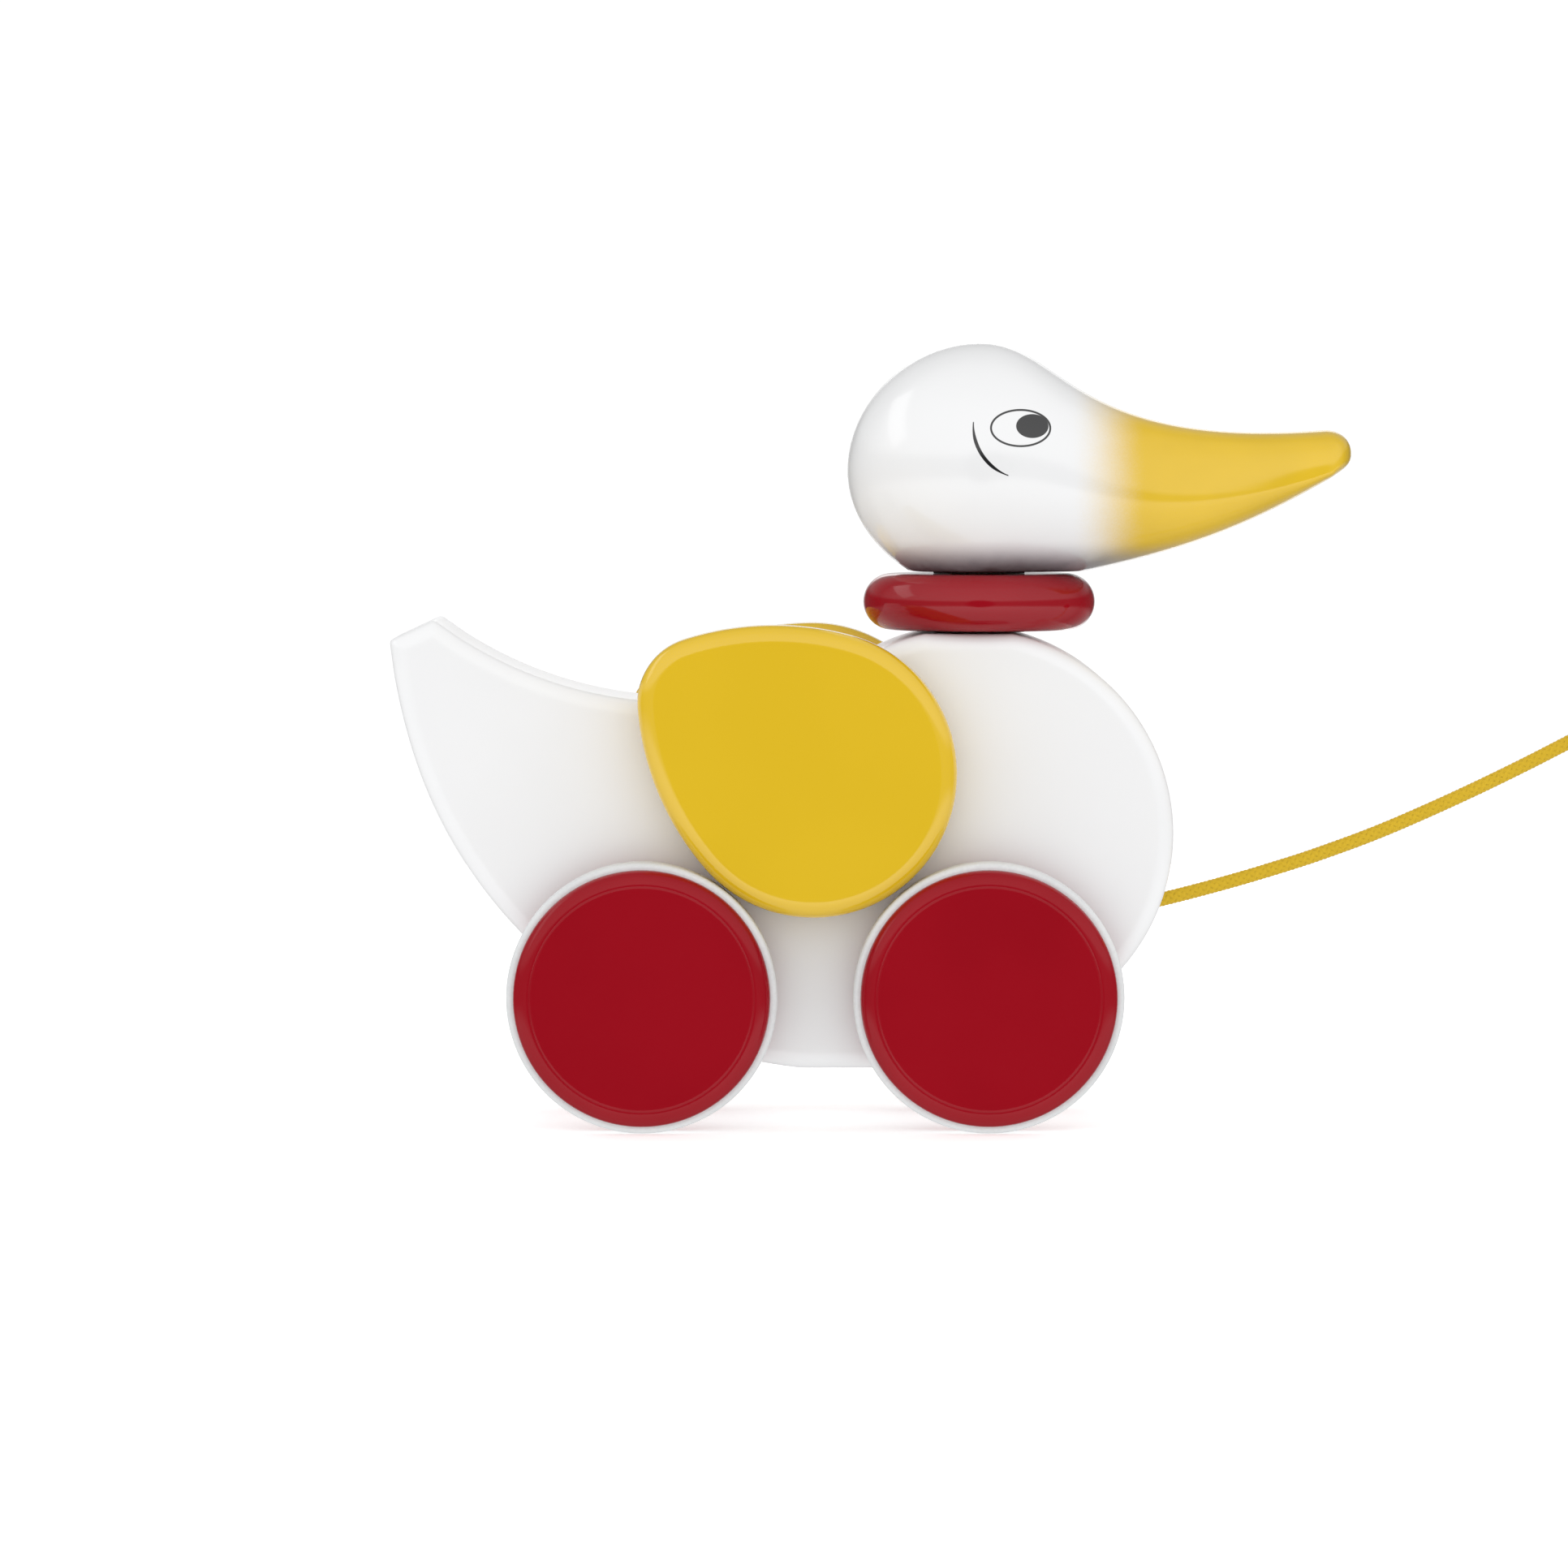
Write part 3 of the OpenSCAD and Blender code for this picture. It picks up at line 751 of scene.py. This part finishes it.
def knot_path(start, way, turns, tail):
    """The line of a stopper knot at start, where the cord arrives along way."""
    side = Vector((0, 1, 0))
    up = way.cross(side)

    def at(forward, out, angle):
        a = math.radians(angle)
        return start + way * forward + (side * math.cos(a) + up * math.sin(a)) * out

    long = turns * CORD_D
    top = long - 0.0018
    over = top + CORD_D / 2
    path = [at(-0.0006, 0, 0), at(top / 2, 0, 0), at(top, 0.0002, 0), at(over, 0.001, 6),
            at(over, 0.0023, 18)]
    count = round(TURN_POINTS * turns)
    path += [at(top - long * i / count, WIND_R, LEAD + 360 * turns * i / count)
             for i in range(count + 1)]
    end = LEAD + 360 * turns
    return path + [at(top - long, WIND_R + out, end + angle) for out, angle in tail]


def tie(name, node, place, way, turns, tail):
    line = through(knot_path(place, way, turns, tail))
    return add_piece(name, braided(line), "duck_body", "cord_braid", [node])


first_way = (cord_line[0] - cord_line[9]).normalized()
last_way = (cord_line[-1] - cord_line[-9]).normalized()
end_knot = tie("end_knot", "bead_knot", cord_line[-1], last_way, turns=2,
               tail=[(0.0006, 26), (0.0022, 42), (0.0045, 52)])
breast_knot = tie("breast_knot", "cord_knot", cord_line[0], first_way, turns=1.25,
                  tail=[(0.0, 24)])

# %% [markdown]
# The bead is a ball with a hole that fits the cord, turned in one go: up the hole, over its eased
# lip, round the ball and back over the other lip. It and the two knots are pieces on the cord.

# %% Bead
LIP = 0.0008


def make_bead():
    radius = extent("pull_bead").x / 2
    lip_r = CORD_HOLE_R + LIP
    lip_z = math.sqrt((radius - LIP) ** 2 - lip_r ** 2)
    rise = math.degrees(math.atan2(lip_z, lip_r))
    pen = Pen(CORD_HOLE_R, -lip_z)
    pen.arc((lip_r, -lip_z), 180 - rise, 6)
    pen.arc((0, 0), 2 * rise, 72)
    pen.arc((lip_r, lip_z), 180 - rise, 6)
    pen.line(CORD_HOLE_R, -lip_z)
    bead = middle("pull_bead")
    near = min(range(len(cord_line)), key=lambda i: (cord_line[i] - bead).length)
    way = cord_line[near + 5] - cord_line[near - 5]
    return add_piece("turned_bead", turned(pen, bead, way), "duck_body", "bead_lacquer", ["pull_bead"])


pull_bead = make_bead()

# %% [markdown]
# Patterns on a surface are sums, and adding Math nodes by hand for each sum hides what is meant. A
# Wire wraps one socket and gives it +, -, *, / and **, so that writing 1 - mask adds the node. The
# forms with the wire on the right are there too, because 1 - mask starts with a plain number.

# %% Wires
class Wire:
    """A value that a shader works out for each place."""

    def __init__(self, finish, socket):
        self.finish, self.socket = finish, socket

    def math(self, operation, *values):
        return self.finish.node("Math", {"operation": operation}, dict(enumerate(values)))

    def __add__(self, other):
        return self.math("ADD", self, other)

    def __radd__(self, other):
        return self.math("ADD", other, self)

    def __sub__(self, other):
        return self.math("SUBTRACT", self, other)

    def __rsub__(self, other):
        return self.math("SUBTRACT", other, self)

    def __mul__(self, other):
        return self.math("MULTIPLY", self, other)

    def __rmul__(self, other):
        return self.math("MULTIPLY", other, self)

    def __truediv__(self, other):
        return self.math("DIVIDE", self, other)

    def __pow__(self, other):
        return self.math("POWER", self, other)

    def root(self):
        return self.math("SQRT", self)

    def size(self):
        return self.math("ABSOLUTE", self)

    def highest(self, other):
        return self.math("MAXIMUM", self, other)

    def above(self, low, high):
        """0 below low, 1 above high and smooth between them."""
        return self.finish.node("MapRange", {"interpolation_type": "SMOOTHSTEP"},
                                {"Value": self, "From Min": low, "From Max": high})

    def below(self, low, high):
        return 1 - self.above(low, high)


print("wires can be added, multiplied and compared")

# %% [markdown]
# A finish is a material of one Principled shader. Every other node comes from one method, which
# sets the node up first and then fills its sockets with numbers or wires. Noise, a mix of two
# colours and fine relief are what the finishes of a toy need most, so they have names.

# %% Finishes
class Finish:
    """A material of one Principled shader, with its patterns built up from nodes."""

    def __init__(self, name, **values):
        self.material = bpy.data.materials.new(name)
        self.material.use_nodes = True
        self.tree = self.material.node_tree
        self.shader = self.tree.nodes["Principled BSDF"]
        self.place = self.node("TexCoord", out="Object")
        self.set(**values)

    def node(self, kind, settings=None, sockets=None, out=0):
        made = self.tree.nodes.new("ShaderNode" + kind)
        for key, value in (settings or {}).items():
            setattr(made, key, value)
        for key, value in (sockets or {}).items():
            self.fill(made.inputs[key], value)
        return Wire(self, made.outputs[out])

    def fill(self, socket, value):
        if isinstance(value, Wire):
            self.tree.links.new(value.socket, socket)
        else:
            socket.default_value = value

    def set(self, **values):
        """Base_Color=... fills the shader's Base Color, and so on."""
        for key, value in values.items():
            self.fill(self.shader.inputs[key.replace("_", " ")], value)

    def noise(self, scale, detail, stretch=(1, 1, 1)):
        """Soft random blotches about 1 / scale metres across, drawn out along an axis."""
        place = self.node("Mapping", {}, {"Vector": self.place, "Scale": stretch})
        return self.node("TexNoise", {}, {"Vector": place, "Scale": scale, "Detail": detail}, "Fac")

    def mix(self, factor, a, b):
        """Colour a where factor is 0 and b where it is 1."""
        return self.node("Mix", {"data_type": "RGBA"}, {0: factor, 6: a, 7: b}, 2)

    def relief(self, height, depth, strength=1.0):
        """Bumps on the surface, depth metres deep where the height runs from 0 to 1."""
        self.set(Normal=self.node("Bump", {}, {"Height": height, "Distance": depth,
                                               "Strength": strength}))


def shade(colour, factor):
    """A colour made lighter or darker, with full alpha."""
    return (*(min(1.0, c * factor) for c in colour[:3]), 1)


print("finishes are ready to mix")

# %% [markdown]
# Toy lacquer is sprayed on in two or three coats over filled beech. It shows no grain, but it isn't
# flat: it is a little thicker in some places, its gloss drifts, and a close look finds the soft
# dimples of orange peel. One recipe covers the body, wings, wheels, ring and bead, with the gloss
# and the colour of each.

# %% Lacquers
WHITE = (0.855, 0.858, 0.864)
YELLOW = (0.735, 0.480, 0.014)
RED = (0.300, 0.003, 0.010)
FINISHES = {}


def lacquer(name, colour, gloss, coat, drift, ior=1.45):
    finish = Finish(name, IOR=ior, Coat_IOR=1.45, Coat_Roughness=0.08)
    cloud = finish.noise(38, 2)
    peel = finish.noise(520, 1)
    finish.colour = finish.mix(cloud.above(0.35, 0.65), shade(colour, 1 - drift),
                               shade(colour, 1 + drift / 2))
    finish.set(Base_Color=finish.colour, Roughness=gloss + cloud * 0.04 + (peel - 0.5) * 0.02,
               Coat_Weight=coat + (cloud - 0.5) * 0.2)
    finish.relief(peel, 0.000004, 0.5)
    FINISHES[name] = finish
    return finish


lacquer("white_lacquer", shade(WHITE, 1.008), 0.27, coat=0.1, ior=1.38, drift=0.01)
lacquer("wing_lacquer", YELLOW, 0.13, coat=0.4, ior=1.4, drift=0.012)
lacquer("wheel_lacquer", RED, 0.15, coat=0.12, ior=1.2, drift=0.03)
lacquer("collar_lacquer", RED, 0.11, coat=0.28, ior=1.25, drift=0.03)
lacquer("bead_lacquer", RED, 0.14, coat=0.4, ior=1.25, drift=0.03)
print("lacquers:", ", ".join(FINISHES))

# %% [markdown]
# The head wears the white lacquer and three prints: the outline of an eye, its pupil and a short
# curved stroke for the cheek. The bill is airbrushed, so the yellow starts in a spray of fine dots.
# Patterns on Object coordinates look straight through the head, and both sides get the same
# prints. Each print is a distance from its line in millimetres, and ink lies where it is small.
# Round the base, where the head turns on its washer, the white fades into a painted shade of dark grey, for the
# shadow in the gap above the ring.

# %% Head finish
INK = (0.012, 0.012, 0.013, 1)
EYE = (30.2, 144.2, 6.1, 3.7)
PUPIL = (32.6, 144.6, 3.35, 2.45)
CHEEK = (31.2, 144.6, 10.72)
SPRAY = (40.5, 56.5)
# Height band and colour of the painted shade round the base of the head.
SHADE_BAND = (114.9, 121.2)
SHADE_GREY = (0.15, 0.155, 0.17, 1)


def head_finish():
    # The head's white is darker than the body's, a painted shade that tones the round head down under the same
    # light.
    finish = lacquer("head_lacquer", shade(WHITE, 0.965), 0.19, coat=0.35, drift=0.01)
    x, _, z = (finish.node("SeparateXYZ", {}, {0: finish.place}, i) / MM for i in range(3))

    def ellipse(cx, cz, a, b):
        """Millimetres outside an ellipse, less than zero inside it."""
        near = (((x - cx) / a) ** 2 + ((z - cz) / b) ** 2).root()
        steep = (((x - cx) / (a * a)) ** 2 + ((z - cz) / (b * b)) ** 2).root()
        return near * (near - 1) / steep

    eye = ellipse(*EYE).size().below(0.16, 0.26)
    pupil = ellipse(*PUPIL).below(-0.05, 0.05)
    cx, cz, bend = CHEEK
    off = (((x - cx) ** 2 + (z - cz) ** 2).root() - bend).size()
    width = 0.12 + 0.25 * z.below(141, 145.5) * x.below(23.5, 27.6)
    stroke = (off - width).below(-0.05, 0.05) * z.below(145.3, 145.6) * x.below(27.5, 27.8)
    spray = (finish.noise(2600, 1) - 0.5) * 1.8 + (finish.noise(160, 3) - 0.5) * 1.5
    bill = (x + spray).above(*SPRAY)
    tone = finish.mix(finish.noise(45, 3).above(0.3, 0.7), shade(YELLOW, 0.97), shade(YELLOW, 1.05))
    painted = finish.mix(bill, finish.colour, tone)
    # Painted shade: the base of the head is painted dark grey where the gap to the ring lies in shadow.
    base_shade = z.below(*SHADE_BAND) * (0.84 + (finish.noise(220, 3) - 0.5) * 0.3)
    painted = finish.mix(base_shade, painted, SHADE_GREY)
    finish.set(Base_Color=finish.mix(eye.highest(pupil).highest(stroke), painted, INK))


head_finish()
print("the head is printed and airbrushed")

# %% [markdown]
# Under the lacquer are plain materials, most of them hidden. Steel rod is drawn through a die and
# keeps fine lines along its length. Nylon is milky and faintly mottled. Beech has short dark rays
# along its grain. Fibre washers are pressed from dark paper pulp. Rubber tyres are pale and a
# little cloudy, with a matt bloom.

# %% Plain materials
def plain(name, low, high, pattern, rough, depth, **values):
    """A finish that runs from one colour to another with its pattern, which also lifts it."""
    finish = Finish(name, **values)
    height = pattern(finish)
    finish.set(Base_Color=finish.mix(height.above(0.3, 0.7), (*low, 1), (*high, 1)),
               Roughness=rough + (height - 0.5) * 0.15)
    finish.relief(height, depth)
    FINISHES[name] = finish


plain("steel_rod", (0.50, 0.50, 0.51), (0.66, 0.66, 0.68), lambda f: f.noise(5000, 2, (1, 0.02, 1)),
      0.28, 0.000004, Metallic=1.0)
plain("nylon", (0.74, 0.73, 0.68), (0.84, 0.83, 0.79), lambda f: f.noise(300, 4), 0.42, 0.00001)
plain("raw_beech", (0.50, 0.31, 0.17), (0.68, 0.47, 0.29), lambda f: f.noise(900, 5, (1, 1, 0.08)),
      0.62, 0.00004)
plain("fibre", (0.05, 0.04, 0.03), (0.13, 0.10, 0.08), lambda f: f.noise(2500, 3), 0.85, 0.00003)
plain("tyre_rubber", (0.66, 0.675, 0.68), (0.74, 0.75, 0.755),
      lambda f: f.noise(70, 3) * 0.6 + f.noise(1400, 2) * 0.4, 0.46, 0.000025, IOR=1.4)
print("finishes so far:", ", ".join(FINISHES))

# %% [markdown]
# The braid's own numbers drive its finish. A yarn is a bundle of fine fibres that run along it, so
# a noise is stretched along the cord and squeezed across the yarn. The grooves between yarns are
# painted a darker, deeper yellow, a painted shade for the light that sinks into them.

# %% Cord finish
CORD_YELLOW = (0.66, 0.43, 0.017)
FIBRES_ACROSS = 9
FIBRES_ALONG = 700


def cord_finish():
    finish = Finish("cord_braid", Sheen_Weight=0.05, Sheen_Roughness=0.4, Specular_IOR_Level=0.25)
    numbers = finish.node("Attribute", {"attribute_name": "yarn"}, {}, "Vector")
    across, along, crown = (finish.node("SeparateXYZ", {}, {0: numbers}, i) for i in range(3))
    thread = finish.node("CombineXYZ", {}, {0: across * FIBRES_ACROSS, 1: along * FIBRES_ALONG, 2: 0.5})
    fibre = finish.node("TexNoise", {}, {"Vector": thread, "Scale": 1.0, "Detail": 3.0}, "Fac")
    # Painted shade in the low parts of each yarn, plus the fibres' own tone.
    tone = crown.above(0.1, 0.9) * 0.75 + fibre.above(0.25, 0.75) * 0.25
    finish.set(Base_Color=finish.mix(tone, shade(CORD_YELLOW, 0.66), shade(CORD_YELLOW, 1.04)),
               Roughness=0.72 - fibre * 0.2)
    finish.relief(fibre, 0.00002)
    FINISHES["cord_braid"] = finish


cord_finish()
print("the braid has its fibres")

# %% [markdown]
# Each piece wears the finish of its slot, and so does each part of the model that was already
# right and stayed: dowel, pin, shafts, bushes and washers.

# %% Dressing
def wear(made, slot):
    made.data.materials.clear()
    made.data.materials.append(FINISHES[slot].material)


kept = [node for node, made in frame["nodes"].items() if not made.hide_render]
slots = {row["node"]: row["material_slot"] for row in frame["record"]["subparts"]}
for node in kept:
    wear(frame["nodes"][node], slots[node])
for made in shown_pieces():
    if "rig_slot" in made:
        wear(made, made["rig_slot"])
print("kept from the model:", ", ".join(kept))

# %% [markdown]
# The toy stands on a round white floor in a white studio. The floor glows a little, which thins the
# shadows on it, and neither gloss nor matt light sees it, so the sky alone lights the toy.

# %% Floor
FLOOR_R = 0.9


def make_floor():
    bm = bmesh.new()
    bmesh.ops.create_circle(bm, cap_ends=True, segments=96, radius=FLOOR_R)
    floor = add_object("floor", bm)
    finish = Finish("studio_floor", Roughness=0.9, Specular_IOR_Level=0.1, Emission_Strength=0.35)
    white = finish.mix(finish.noise(3, 2), (0.92, 0.92, 0.92, 1), (0.94, 0.94, 0.94, 1))
    finish.set(Base_Color=white, Emission_Color=white)
    floor.data.materials.append(finish.material)
    floor.visible_glossy = floor.visible_diffuse = False


make_floor()
print("the floor is", 2 * FLOOR_R, "metres across")

# %% [markdown]
# The world gives each kind of ray a light of its own. Its light is drawn in bands, by height or by
# the angle from the front, and each band is a colour ramp over how far a ray points along an axis.

# %% Sky
class Sky:
    """The world's node tree, with a light of its own for each kind of ray."""

    def __init__(self):
        self.world = bpy.data.worlds.new("studio")
        bpy.context.scene.world = self.world
        self.world.use_nodes = True
        self.world.cycles.sampling_method = "NONE"
        self.tree = self.world.node_tree
        self.split = self.add("SeparateXYZ")
        self.rays = self.add("LightPath")
        self.join(self.add("TexCoord").outputs["Generated"], self.split.inputs[0])

    def add(self, kind):
        return self.tree.nodes.new("ShaderNode" + kind)

    def join(self, out, into):
        self.tree.links.new(out, into)

    def bands(self, axis, stops):
        """Brightness by how far a direction points along an axis, from pairs of part and light."""
        place = self.add("MapRange")
        place.inputs["From Min"].default_value = -1
        self.join(self.split.outputs[axis], place.inputs["Value"])
        made = self.add("ValToRGB")
        while len(made.color_ramp.elements) < len(stops):
            made.color_ramp.elements.new(0.5)
        for element, (part, bright) in zip(made.color_ramp.elements, stops):
            element.position = (part + 1) / 2
            element.color = (bright, bright, bright, 1)
        self.join(place.outputs[0], made.inputs[0])
        return made.outputs[0]

    def by_height(self, stops):
        return self.bands("Z", [(math.sin(math.radians(angle)), bright) for angle, bright in stops])

    def from_front(self, stops):
        return self.bands("Y", [(-math.cos(math.radians(angle)), bright) for angle, bright in stops])

    def blend(self, factor, a, b, kind="MIX"):
        made = self.add("Mix")
        made.data_type, made.blend_type, made.clamp_factor = "RGBA", kind, True
        for socket, value in ((made.inputs[0], factor), (made.inputs[6], a), (made.inputs[7], b)):
            if isinstance(value, bpy.types.NodeSocket):
                self.join(value, socket)
            else:
                socket.default_value = value
        return made.outputs[2]

    def shine(self, matt, gloss, camera):
        """Sends each kind of ray its own light."""
        lit = self.blend(self.rays.outputs["Is Glossy Ray"], matt, gloss)
        seen = self.blend(self.rays.outputs["Is Camera Ray"], lit, camera)
        self.join(seen, self.tree.nodes["Background"].inputs["Color"])


print("the sky is drawn in bands")

# %% [markdown]
# Gloss shows whatever stands round a thing, so it sees a sky of its own: dark straight in front,
# where the flat faces mirror it and keep their full colour, a bright ring round that, which every
# rounded edge catches, dim behind the toy and bright again straight behind it. Matt light comes
# from a nearly even dome, brightest at the horizon, which leaves soft shade wherever two pieces
# are close. The camera sees white.

# %% Light
GLOSS_FROM_FRONT = [(0, 0.03), (12, 0.04), (16, 1.7), (65, 1.5), (95, 1.0), (122, 0.25), (162, 0.3),
                    (174, 3.2)]
GLOSS_BY_HEIGHT = [(-90, 0.9), (-40, 1.0), (-13, 1.3), (-7, 0.25), (7, 0.25), (13, 1.1), (55, 1.0),
                   (90, 0.8)]
MATT_BY_HEIGHT = [(-90, 0.92), (-30, 1.0), (0, 1.15), (30, 1.13), (90, 1.02)]
CAMERA_WHITE = (1.05, 1.05, 1.05, 1)

sky = Sky()
gloss = sky.blend(1.0, sky.from_front(GLOSS_FROM_FRONT), sky.by_height(GLOSS_BY_HEIGHT), "MULTIPLY")
sky.shine(sky.by_height(MATT_BY_HEIGHT), gloss, CAMERA_WHITE)
print("the sky has", len(sky.tree.nodes), "nodes")

# %% [markdown]
# One long softbox on the left gives the round head its tall highlight, as a window would. Its own
# Z axis points away from the toy and its Y axis lies along the light, which fixes how it is turned.

# %% Window
def add_strip(name, power, way, along, far, size):
    """A long softbox on one side of the toy, drawn out along a line, which only gloss can see."""
    data = bpy.data.lights.new(name, "AREA")
    data.energy, data.shape = power, "RECTANGLE"
    data.size, data.size_y = size
    lamp = bpy.data.objects.new(name, data)
    back = Vector(way).normalized()
    side = Vector(along).cross(back).normalized()
    lamp.rotation_euler = Matrix((side, back.cross(side), back)).transposed().to_euler()
    lamp.location = AIM + back * far
    lamp.visible_camera = lamp.visible_diffuse = False
    bpy.context.scene.collection.objects.link(lamp)


add_strip("window", power=1.3, way=(-0.83, 0.10, 0.60), along=(0.43, 0.75, 0.45), far=1.2,
          size=(0.32, 0.95))
bpy.context.scene.view_settings.view_transform = "Standard"
print("the studio is lit")
